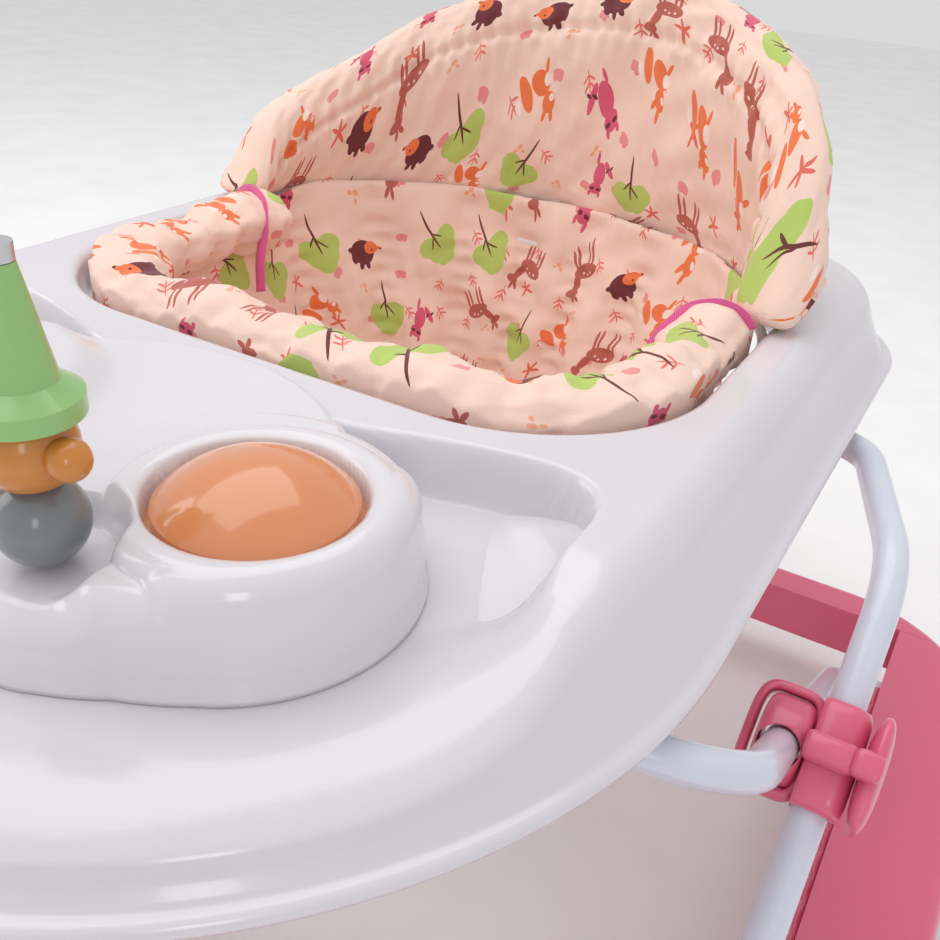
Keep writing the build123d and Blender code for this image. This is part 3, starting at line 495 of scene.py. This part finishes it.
def tray():
    """Moulded tray as rings round the opening: lined opening, rim, rolled edge, leaning skirt, bead, inner face.

    Each ring is a radius round the opening's middle for every angle, with a height for it.
    """
    centre = np.array([0.0, 11.0])
    fine = np.radians(np.arange(-152, -28, 0.36))
    coarse = np.radians(np.arange(-28, 208, 1.25))
    phi = np.r_[fine, coarse]
    ray = np.stack([np.cos(phi), np.sin(phi)], 1)
    hole = polar(opening_outline(0), centre, phi)
    inner = hole + HOLE_ROUND
    outer = polar(tray_outline(EDGE_INSET), centre, phi)
    rows = []

    def add(radius, z):
        xy = centre + ray * radius[:, None]
        rows.append(np.column_stack([xy, np.broadcast_to(z, radius.shape)]))

    for z in np.linspace(350, RIM_Z - HOLE_ROUND, 6):
        add(hole, z)
    for t in np.linspace(0, 1, 7)[1:]:
        a = t * np.pi / 2
        add(hole + HOLE_ROUND * (1 - np.cos(a)), RIM_Z - HOLE_ROUND + HOLE_ROUND * np.sin(a))
    for t in np.linspace(0, 1, 97)[1:]:
        radius = inner + (outer - inner) * t
        xy = centre + ray * radius[:, None]
        rows.append(np.column_stack([xy, tray_height(xy[:, 0], xy[:, 1])]))
    top = rows[-1][:, 2].copy()
    lean = 30.0 * (top - LIP_Z) / 58.0
    skirt_out = [polar(tray_outline(inset), centre, phi) for inset in (0.0, 45.0)]

    def at_inset(inset):
        return skirt_out[0] + (skirt_out[1] - skirt_out[0]) * inset / 45.0

    # rolled edge: from the flat top to the skirt, as a quarter curve that ends along the skirt's lean
    for t in np.linspace(0, 1, 15)[1:]:
        a = t * EDGE_LEAN
        run = np.sin(a) / np.sin(EDGE_LEAN)
        drop = (1 - np.cos(a)) / (1 - np.cos(EDGE_LEAN))
        inset = EDGE_INSET + (lean * 0.66 - EDGE_INSET) * run
        add(at_inset(inset), top - 0.34 * (top - LIP_Z) * drop)
    start_inset, start_z = lean * 0.66, top - 0.34 * (top - LIP_Z)
    for t in np.linspace(0, 1, 9)[1:]:
        hollow = 1.2 * np.sin(np.pi * t)
        add(at_inset(start_inset + (4.5 - start_inset) * t + hollow), start_z + (331 - start_z) * t)
    for a in np.radians(np.linspace(105, -90, 12)):
        add(at_inset(1.6 - 3.9 * np.cos(a)), 326.2 + 4.2 * np.sin(a))
    add(at_inset(np.full_like(phi, 5.5)), 323.0)
    for t in np.linspace(0, 1, 6)[1:]:
        add(at_inset(5.5 + (lean + 8 - 5.5) * t), 323 + (top - 16 - 323) * t)
    add(at_inset(np.full_like(phi, 48.0)), np.minimum(top - 6, 372))
    under = np.minimum(FLOOR_Z - 4, top - 6)
    add(hole + 9, np.minimum(under, 352))
    add(hole + 3, 350)
    points = np.stack(rows, 1)
    piece = surface("tray_moulding", points, TRAY, "tray", "tray_plastic", around=True, closed=True)
    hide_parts("tray_shell")


# ---------------------------------------------------------------- soft pieces
def ripple(u, v, seed, sizes):
    """Sum of slanted sine waves: wavelength in millimetres and height for each."""
    draw = np.random.default_rng(seed)
    total = np.zeros(np.broadcast(u, v).shape)
    for length, height in sizes:
        for _ in range(3):
            turn, phase = draw.uniform(0, TAU, 2)
            total = total + height / 3 * np.sin((u * np.cos(turn) + v * np.sin(turn)) * TAU / length + phase)
    return total


def run_length(path):
    """Distance along a path."""
    return np.r_[0, np.cumsum(np.linalg.norm(np.diff(path, axis=0), axis=1))]


def seat_roll():
    """Padded roll: an oval section carried round the front of the opening, with gathers across it."""
    outline = opening_outline(-27)
    keep = outline[outline[:, 1] < 50]
    order = np.argsort(np.arctan2(keep[:, 0], -(keep[:, 1] - 60)))
    path = keep[order][::2]
    for _ in range(6):
        path[1:-1] = (path[:-2] + 2 * path[1:-1] + path[2:]) / 4
    run = run_length(path)
    tangent = np.gradient(path, axis=0)
    tangent /= np.linalg.norm(tangent, axis=1)[:, None]
    normal = np.stack([tangent[:, 1], -tangent[:, 0]], 1)
    a = np.linspace(0, TAU, 73)[:-1]
    u, v = run[:, None], (a * 19)[None, :]
    end = np.clip(np.minimum(run, run[-1] - run) / 9, 0, 1)[:, None]
    taper = np.sqrt(np.clip(1 - (1 - end) ** 2, 0, 1))
    gather = 1.5 * np.sin(u * TAU / 23 + 2.2 * np.sin(u / 37)) * (0.3 + 0.7 * np.cos(a[None, :] - 3.4) ** 2)
    swell = 1.8 * np.sin(u * TAU / 128 + 0.6) + ripple(u, v, 3, [(62, 2.8), (31, 2.1), (15, 1.1), (8, 0.35)])
    radius = (1 + (gather + swell) / 20) * taper
    across = radius * 24.0 * np.cos(a)[None, :]
    rise = radius * 18.5 * np.sin(a)[None, :]
    outward = np.clip(across, -44, 20.5)
    points = np.empty((len(path), len(a), 3))
    points[..., :2] = path[:, None, :] + normal[:, None, :] * outward[..., None]
    points[..., 2] = 372.5 + rise

    def uv(i, j):
        return np.stack([run[np.minimum(i, len(run) - 1)], j * TAU * 19 / 72], 1)

    piece = surface("seat_roll", points, PRINT, "tray", "print_fabric", around=False, closed=True, uv=uv)
    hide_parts("seat_bolster")


# height of the backrest's top at each angle round the seat, left to right
BACK_TOP = np.array([(0, 392), (4, 412), (8, 428), (13, 442), (25, 460), (40, 482), (55, 512), (72, 535),
                     (90, 545), (108, 548), (125, 537), (140, 519), (152, 500), (162, 476), (170, 448), (175, 424),
                     (180, 398)], float)


def backrest():
    """Puffed wing-shaped backrest: an upright oval section carried round the rear of the opening."""
    beta = np.radians(np.linspace(-2.5, 182.5, 300))
    knots = np.radians(BACK_TOP[:, 0])
    top = np.interp(beta, knots, BACK_TOP[:, 1])
    for _ in range(60):
        top[1:-1] = (top[:-2] + 2 * top[1:-1] + top[2:]) / 4
    middle = np.stack([-203 * np.cos(beta), 45 + 151 * np.sin(beta)], 1)
    run = run_length(middle)
    tangent = np.gradient(middle, axis=0)
    tangent /= np.linalg.norm(tangent, axis=1)[:, None]
    outward = np.stack([-tangent[:, 1], tangent[:, 0]], 1)
    count = 150
    a = np.linspace(0, TAU, count + 1)[:-1]
    foot = 381.0
    half = (top - foot)[:, None] / 2
    power = 0.62
    lobe_x = np.sign(np.cos(a)) * np.abs(np.cos(a)) ** power
    lobe_z = np.sign(np.sin(a)) * np.abs(np.sin(a)) ** 0.86
    height = half * (1 + lobe_z[None, :])
    inner_face = np.clip(-np.cos(a), 0, 1)[None, :]
    v = np.cumsum(np.full(count, 1.0))[None, :] * 2 * (half * 2 + 34) / count
    u = run[:, None]
    from_top = (top - foot)[:, None] - height
    seam = np.exp(-((from_top - 30) / 3.2) ** 2) * inner_face ** 0.5
    near_seam = np.exp(-((from_top - 30) / 13) ** 2) * inner_face ** 0.5
    puff = (-4.2 * seam + near_seam * 1.9 * np.sin(u * TAU / 13 + 1.3 * np.sin(u / 29))
            + ripple(u, v, 11, [(90, 2.9), (44, 2.0), (21, 1.2), (11, 0.45)]))
    dish = -6.0 * inner_face * np.clip((from_top - 36) / 40, 0, 1)
    thick = 18.5 * (1 + 0.12 * np.sin(np.pi * height / (2 * half)))
    end = np.clip(np.minimum(run, run[-1] - run) / 16, 0, 1)
    taper = np.sqrt(np.clip(1 - (1 - end) ** 2, 0, 1))[:, None]
    swell = (puff + dish) * np.where(lobe_x > 0, 1, -1)[None, :] * np.abs(lobe_x)[None, :]
    across = (thick * lobe_x[None, :] + swell) * taper
    across = across + 5 * np.clip((height - 60) / 100, 0, 1)
    points = np.empty((len(beta), count, 3))
    points[..., :2] = middle[:, None, :] + outward[:, None, :] * across[..., None]
    rise = 0.5 * puff * np.clip(lobe_z, 0, 1)[None, :] * taper
    points[..., 2] = foot + half * (1 + lobe_z[None, :] * taper) + rise
    last = len(run) - 1

    def uv(i, j):
        row = np.minimum(i, last)
        return np.stack([run[row], 2 * (half[row, 0] * 2 + 34) * j / count], 1)

    piece = surface("backrest_cushion", points, PRINT, "tray", "print_fabric", around=False, closed=True, uv=uv)
    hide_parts("backrest_pad", "backrest_board")


def bucket():
    """Quilted seat lining: rings that taper from the opening to the bottom, seamed into channels."""
    centre = np.array([0.0, 11.0])
    phi = np.linspace(0, TAU, 361)[:-1]
    ray = np.stack([np.cos(phi), np.sin(phi)], 1)
    rear = ease((11 + 150 * np.sin(phi) - 40) / 40)
    face_angle = np.linspace(0, TAU, 721)
    face = polar(np.stack([187 * np.cos(face_angle), 45 + 136 * np.sin(face_angle)], 1), centre, phi)
    rim = polar(opening_outline(-16), centre, phi) * (1 - rear) + face * rear
    depth = np.r_[np.linspace(0, 1, 70), np.ones(14)]
    inward = np.r_[np.zeros(70), np.linspace(0, 1, 15)[1:]]
    run = rim.mean() * phi
    level = 377 - (377 - 184) * depth
    shrink = 1 - 0.47 * depth ** 1.25
    seams = np.radians(np.array([18, 41, 61, 80, 98, 115, 138, 160, 200, 340]))
    gap = np.min(np.abs((phi[:, None] - seams[None, :] + np.pi) % TAU - np.pi), axis=1) * 180
    channel = 1 - np.exp(-(gap / 16) ** 2)
    puff = 9.5 * channel[:, None] * np.sin(np.pi * np.clip(depth * 1.05, 0, 1))[None, :] ** 0.5
    pucker = 1.7 * np.exp(-(gap / 12) ** 2)[:, None] * np.sin(depth * 193 * TAU / 12)[None, :]
    cloth = ripple(run[:, None], (depth * 193)[None, :], 23, [(70, 3.4), (33, 2.2), (16, 1.2)])
    fade = (1 - inward)[None, :]
    radius = rim[:, None] * shrink[None, :] * (1 - inward[None, :])
    radius = radius - (puff + pucker + cloth) * fade
    points = np.empty((len(phi), len(depth), 3))
    points[..., :2] = centre + ray[:, None, :] * radius[..., None]
    lift = 12 * rear[:, None] * (1 - ease(depth * 9))[None, :]
    wave = 3 * np.sin(3 * phi)[:, None] * inward[None, :] * (1 - inward[None, :])
    points[..., 2] = level[None, :] + lift + wave
    fall = np.r_[0, np.cumsum(np.hypot(np.diff(level), np.diff(rim.mean() * shrink * (1 - inward))))]
    last = len(fall) - 1

    def uv(i, j):
        return np.stack([i * rim.mean() * TAU / 360, fall[np.minimum(j, last)]], 1)

    piece = surface("seat_lining", points, PRINT, "tray", "print_fabric", uv=uv, flip=True, shut=False)
    cut_leg_holes(piece)
    wall = piece.modifiers.new("cloth_thickness", "SOLIDIFY")
    wall.thickness = 0.003
    wall.offset = 1.0
    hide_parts("seat_sling")


def cut_leg_holes(piece):
    """Remove the faces of the lining inside the two leg openings."""
    work = bmesh.new()
    work.from_mesh(piece.data)
    gone = []
    for face in work.faces:
        c = face.calc_center_median() * 1000
        if c.y - SHIFT < -20 and ((abs(c.x) - 62) / 42) ** 2 + ((c.z - 232) / 42) ** 2 < 1:
            gone.append(face)
    bmesh.ops.delete(work, geom=gone, context="FACES")
    bmesh.ops.delete(work, geom=[v for v in work.verts if not v.link_faces], context="VERTS")
    work.to_mesh(piece.data)
    work.free()


TAPE_LINE = [(195, 36, 382), (190, 35, 390), (177, 31, 395), (161, 24, 391), (150, 12, 376), (145, 0, 356),
             (138, -8, 336)]
TAPE_WIDTH = 8.0


def tape_strip(name, spine, width, material, up):
    """Flat tape: a thin rounded-rectangle section carried along a spine in millimetres."""
    spine = np.asarray(spine, float)
    run = run_length(spine)
    t = np.arange(0, run[-1], 1.5)
    spine = np.stack([np.interp(t, run, spine[:, k]) for k in range(3)], 1)
    for _ in range(14):
        spine[1:-1] = (spine[:-2] + 2 * spine[1:-1] + spine[2:]) / 4
    tangent = np.gradient(spine, axis=0)
    tangent /= np.linalg.norm(tangent, axis=1)[:, None]
    face = np.cross(tangent, np.broadcast_to(up, tangent.shape))
    face /= np.linalg.norm(face, axis=1)[:, None]
    lift = np.cross(face, tangent)
    section = [(-0.5, -0.5), (-0.5, 0.5), (-0.3, 0.75), (0.3, 0.75), (0.5, 0.5), (0.5, -0.5)]
    points = np.stack([spine + face * (width * a) + lift * (1.3 * b) for a, b in section], 1)
    shares = np.array([-0.5, -0.5, -0.3, 0.3, 0.5, 0.5, -0.5])

    def uv(i, j):
        return np.stack([i * 1.5, shares[j] * width], 1)

    return surface(name, capped(points), material, "tray", "webbing", around=False, closed=True, uv=uv)


# ---------------------------------------------------------------- toy panel
LOBE, LOBE_R = np.array([94.0, -286.0]), 71.0
TOE, TOE_R = np.array([62.0, -338.0]), 40.0
DOME = np.array([106.0, -290.0])
SPINDLE = np.array([60.0, -346.0])


def panel_plan(inset, count=1600):
    """Plan of the toy panel: two large rounds and two smaller ones in front, wrapped by their convex hull."""
    t = np.linspace(0, TAU, count)
    rounds = []
    for side in (-1, 1):
        for (x, y), radius in ((LOBE, LOBE_R), (TOE, TOE_R)):
            reach = radius - inset
            rounds.append(np.stack([side * x + reach * np.cos(t), y + reach * np.sin(t)], 1))
    cloud = np.concatenate(rounds)
    angles = np.linspace(0, TAU, 1441)[:-1]
    ray = np.stack([np.cos(angles), np.sin(angles)], 1)
    reach = (cloud @ ray.T).max(axis=0)
    # each outline point is where neighbouring support lines meet
    nxt = np.roll(ray, -1, axis=0)
    det = ray[:, 0] * nxt[:, 1] - ray[:, 1] * nxt[:, 0]
    far = np.roll(reach, -1)
    x = (reach * nxt[:, 1] - far * ray[:, 1]) / det
    y = (far * ray[:, 0] - reach * nxt[:, 0]) / det
    return np.stack([x, y], 1)


def panel_height(x, y):
    """Top of the toy panel: raised lobes, rounded collars round the domes, a low middle and ball pockets."""
    lobe = np.hypot(np.abs(x) - LOBE[0], y - LOBE[1])
    z = 383 + 10.5 * ease((84 - lobe) / 22)
    away = np.hypot(np.abs(x) - DOME[0], y - DOME[1])
    collar = np.clip(1 - ((away - 47.5) / 8.5) ** 2, 0, 1)
    z = z + 7 * np.sqrt(collar) * (away > 40)
    z = 386 + (z - 386) * ease((away - 39.2) / 2.2)
    groove = np.hypot(np.abs(x) - SPINDLE[0], y - SPINDLE[1])
    z = z - (z - 382) * (1 - ease((groove - 22) / 9))
    return z


def toy_panel():
    """Toy panel as rings: inner lip, soft wall flared at the foot, rounded edge and the modelled top."""
    centre = np.array([0.0, -295.0])
    phi = np.linspace(0, TAU, 721)[:-1]
    ray = np.stack([np.cos(phi), np.sin(phi)], 1)
    rows = [np.column_stack([np.broadcast_to(centre, ray.shape), np.full(len(phi), 356.6)])]

    def add(inset, z):
        xy = centre + ray * polar(panel_plan(inset), centre, phi)[:, None]
        rows.append(np.column_stack([xy, np.broadcast_to(z, phi.shape)]))

    edge = polar(panel_plan(13), centre, phi)
    plan = centre + ray * edge[:, None]
    crown = panel_height(plan[:, 0], plan[:, 1])
    add(2.6, 356.6)
    add(2.6, 353.6)
    add(1.5, 353.4)
    add(-1.5, 353.6)
    add(-1.2, 355.5)
    add(0.2, 359)
    for t in np.linspace(0, 1, 8)[1:]:
        add(0.2 + 2.2 * t, 359 + (crown - 13 - 359) * t)
    for t in np.linspace(0, 1, 13)[1:]:
        a = t * np.pi / 2
        add(13 - 10.6 * np.cos(a), crown - 13 + 13 * np.sin(a))
    for t in np.linspace(1, 0, 100)[1:]:
        xy = centre + ray * (edge * t)[:, None]
        rows.append(np.column_stack([xy, panel_height(xy[:, 0], xy[:, 1])]))
    points = np.stack(rows[::-1], 1)
    piece = surface("toy_panel_moulding", points, PANEL, "tray", "panel_plastic", around=True)
    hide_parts("toy_panel")


# ---------------------------------------------------------------- clamps on the legs and ribs on the base
OUTER_LEG_X, INNER_LEG_X = 312, 290
CROSS_Y, CROSS_Z, LEG_TILT = -121.94, 239.16, np.arctan2(241, 284)
ALONG = np.array([0, np.cos(LEG_TILT), np.sin(LEG_TILT)])
SQUARE = np.array([0, -np.sin(LEG_TILT), np.cos(LEG_TILT)])
OUTWARD = np.array([1.0, 0, 0])


def power_ring(half_a, half_b, power, count=96):
    """Closed superellipse: 2 is an ellipse, larger powers are squarer."""
    t = np.linspace(0, TAU, count + 1)[:-1]
    c, s = np.cos(t), np.sin(t)
    return (half_a * np.sign(c) * np.abs(c) ** (2 / power), half_b * np.sign(s) * np.abs(s) ** (2 / power))


def sleeve_block(name, centre, axes, rows, body, inner_limit=-99.0):
    """Hollow block: superellipse rows (distance along, two half sizes, power) that close into a ring."""
    out = []
    for along, half_a, half_b, power in rows:
        a, b = power_ring(half_a, half_b, power)
        a = np.maximum(a, inner_limit)
        out.append(centre + axes[0] * along + a[:, None] * axes[1] + b[:, None] * axes[2])
    points = np.stack(out, 0)
    return surface(name, points, PINK, body, "pink_plastic", around=True, closed=True)


def pebble(name, centre, axes, halves, powers, body):
    """Rounded solid: a superellipsoid with its own squareness round and over."""
    v = np.linspace(-np.pi / 2, np.pi / 2, 49)
    ring_a, ring_b = power_ring(halves[1], halves[2], powers[0])
    over = np.abs(np.cos(v)) ** (2 / powers[1])
    rise = np.sign(np.sin(v)) * np.abs(np.sin(v)) ** (2 / powers[1]) * halves[0]
    points = (centre + rise[:, None, None] * axes[0] + (over[:, None] * ring_a)[..., None] * axes[1]
              + (over[:, None] * ring_b)[..., None] * axes[2])
    return surface(name, points, PINK, body, "pink_plastic", around=False, closed=True)


def clamp(side, name):
    """Rounded sleeve on the outer leg, hooded window round the inner leg, and lens-shaped lever."""
    outward = OUTWARD * side
    outer = np.array([side * OUTER_LEG_X, CROSS_Y, CROSS_Z])
    inner = np.array([side * INNER_LEG_X, CROSS_Y, CROSS_Z])
    bore = 9.35
    round_in = [(along, bore, bore, 2) for along in (-27, 0, 27)]
    shell = [(27.4, 11, 12, 2.6), (26.6, 12.6, 14.4, 2.8), (24.5, 13.6, 16.2, 3), (20, 14.2, 17.2, 3.2),
             (0, 14.5, 17.8, 3.4)]
    back = [(-d, a, b, p) for d, a, b, p in shell[-2::-1]]
    rows = round_in + shell + back
    grip = sleeve_block(f"clamp_grip_{name}", outer, (ALONG, outward, SQUARE), rows, "clamps", -9.7)
    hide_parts(f"height_clamp_{name}")
    gap = [(-6, 23.4, 13.2, 5), (0, 23, 13, 5), (6, 23.4, 13.2, 5)]
    hood = [(7, 24.6, 14.6, 4.4), (6.6, 27, 16.6, 4), (4, 28.4, 18, 3.8), (0, 29, 18.4, 3.8)]
    rear = [(-d, a, b, p) for d, a, b, p in hood[-2::-1]]
    rows = gap + hood + rear
    sleeve_block(f"clamp_hood_{name}", inner - 2 * outward, (SQUARE, ALONG, outward), rows, "clamps")
    pebbles = [("paddle", 20.2, -1, 8, (5.6, 29, 19), (3.4, 2.4)), ("neck", 17, 0, 28, (7, 7, 6), (4, 4))]
    first = None
    axes = (outward, ALONG, SQUARE)
    for part, out, along, up, halves, powers in pebbles:
        centre = outer + outward * out + ALONG * along + SQUARE * up
        piece = pebble(f"lever_{part}_{name}", centre, axes, halves, powers, f"lever_{name}")
        first = first or piece
    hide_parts(f"clamp_lever_{name}")
    ring = [(-11.5, 2.15, 2.15, 2), (11.5, 2.15, 2.15, 2), (12, 3, 3, 2), (11.2, 6.6, 6.6, 2.6),
            (9, 7.2, 7.2, 2.8), (-9, 7.2, 7.2, 2.8), (-11.2, 6.6, 6.6, 2.6), (-12, 3, 3, 2)]
    sleeve_block(f"lever_knuckle_{name}", outer + SQUARE * 24, axes, ring, f"lever_{name}")


def saddle_barrel(side, name):
    """Round hub inside the hood, turned about the same line as the joint and bored for the inner leg."""
    tilt = np.arctan2(CROSS_Z - 66, 170 - CROSS_Y)
    leg = np.array([0, -np.cos(tilt), np.sin(tilt)])
    centre = np.array([side * 289.4, CROSS_Y, CROSS_Z])
    v = np.linspace(-np.pi / 2, np.pi / 2, 33)
    a = np.linspace(0, TAU, 121)[:-1]
    across = 12.3 * np.sign(np.sin(v)) * np.abs(np.sin(v)) ** 0.4
    radius = 22.4 * np.abs(np.cos(v)) ** 0.4
    disc = np.cos(a)[:, None] * ALONG + np.sin(a)[:, None] * SQUARE
    points = centre + across[:, None, None] * OUTWARD + radius[:, None, None] * disc[None]
    shape = {"material": PINK, "body": "saddles", "slot": "pink_plastic", "around": False, "closed": True}
    piece = surface(f"saddle_barrel_{name}", points, **shape)
    half = 40 * leg
    ring = 10.6 * (np.cos(a)[:, None] * OUTWARD + np.sin(a)[:, None] * np.cross(leg, OUTWARD))
    near, far = centre - half, centre + half
    rod = np.stack([near + 0 * ring, near + ring, far + ring, far + 0 * ring], 0)
    cutter = surface("bore_cutter", rod, **shape)
    cut = piece.modifiers.new("bore", "BOOLEAN")
    cut.operation, cut.solver, cut.object = "DIFFERENCE", "EXACT", cutter
    bpy.context.view_layer.update()
    mesh = bpy.data.meshes.new_from_object(piece.evaluated_get(bpy.context.evaluated_depsgraph_get()))
    piece.modifiers.clear()
    piece.data = mesh
    bpy.data.objects.remove(cutter, do_unlink=True)
    return piece


def base_ribs(side, name):
    """Row of half-round ribs down the inner edge of a side panel."""
    edge, pitch = 325.8, 23
    t = np.linspace(-150, 160, 900)
    z = np.linspace(44, 79, 12)
    depth = 1.2 + 4.2 * np.abs(np.sin(t * np.pi / pitch)) ** 0.7
    x = side * (edge - depth)
    wall = np.stack(np.broadcast_arrays(x[:, None], t[:, None], z[None, :]), 2)
    back = wall[:, ::-1].copy()
    back[..., 0] = side * edge
    points = capped(np.concatenate([wall, back], 1))
    surface(f"base_ribs_{name}", points, PINK, "base", "pink_plastic", around=False, closed=True)


# ---------------------------------------------------------------- finishes of the carried-over nodes
def finish_nodes():
    """Give every node that stays its own finish."""
    by_slot = {
        "tray_plastic": TRAY, "panel_plastic": PANEL, "tube_paint": TUBE, "pink_plastic": PINK,
        "white_plastic": plastic("caster_white", linear(232, 230, 230), 0.45, 0.1),
        "wheel_plastic": plastic("wheel_white", linear(236, 234, 234), 0.4, 0.1),
        "steel": plastic("bright_steel", (0.62, 0.63, 0.65), 0.28, 0.0, metal=1.0),
        "grip_rubber": plastic("grip_rubber", (0.11, 0.11, 0.115), 0.85, 0.0, 0.6),
        "amber_lens": plastic("amber_lens", linear(212, 138, 92), 0.16, 0.6, 0.05, 0.25,
                              glow=linear(214, 130, 84)),
        "green_plastic": plastic("toy_green", linear(146, 192, 118), 0.25, 0.4, 0.08, 0.1),
        "orange_plastic": plastic("toy_orange", linear(206, 130, 52), 0.25, 0.4, 0.08, 0.1),
        "grey_plastic": plastic("toy_grey", linear(122, 127, 131), 0.25, 0.4, 0.08),
        "board_plastic": plastic("board_plastic", linear(222, 218, 214), 0.6, 0.0),
        "electronics": plastic("board_green", linear(48, 92, 62), 0.5, 0.1),
        "print_fabric": PRINT, "webbing": TAPE,
    }
    for entry in frame["record"]["subparts"]:
        for place in NODES[entry["node"]].material_slots:
            place.material = by_slot[entry["material_slot"]]


TRAY = plastic("tray_gloss", linear(219, 214, 221), 0.22, 0.45, 0.06, 0.05)
PANEL = plastic("panel_gloss", linear(223, 219, 225), 0.2, 0.5, 0.06, 0.05)
TUBE = plastic("tube_enamel", linear(214, 218, 232), 0.3, 0.5, 0.1)
PINK = plastic("base_pink", linear(226, 100, 132), 0.3, 0.35, 0.12, 0.05)
PRINT = printed_cloth("printed_cotton")
TAPE = woven_tape("pink_tape", linear(235, 96, 160))

add_camera()
add_stage()
finish_nodes()
tray()
seat_roll()
backrest()
bucket()
toy_panel()
for side, name in ((-1, "left"), (1, "right")):
    line = [(side * x, y, z) for x, y, z in TAPE_LINE]
    strap = tape_strip(f"seat_tape_{name}", line, TAPE_WIDTH, TAPE, (0, 1, 0))
    if side < 0:
        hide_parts("seat_straps")
    clamp(side, name)
    hub = saddle_barrel(side, name)
    if side < 0:
        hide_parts("clamp_saddles")
    base_ribs(side, name)
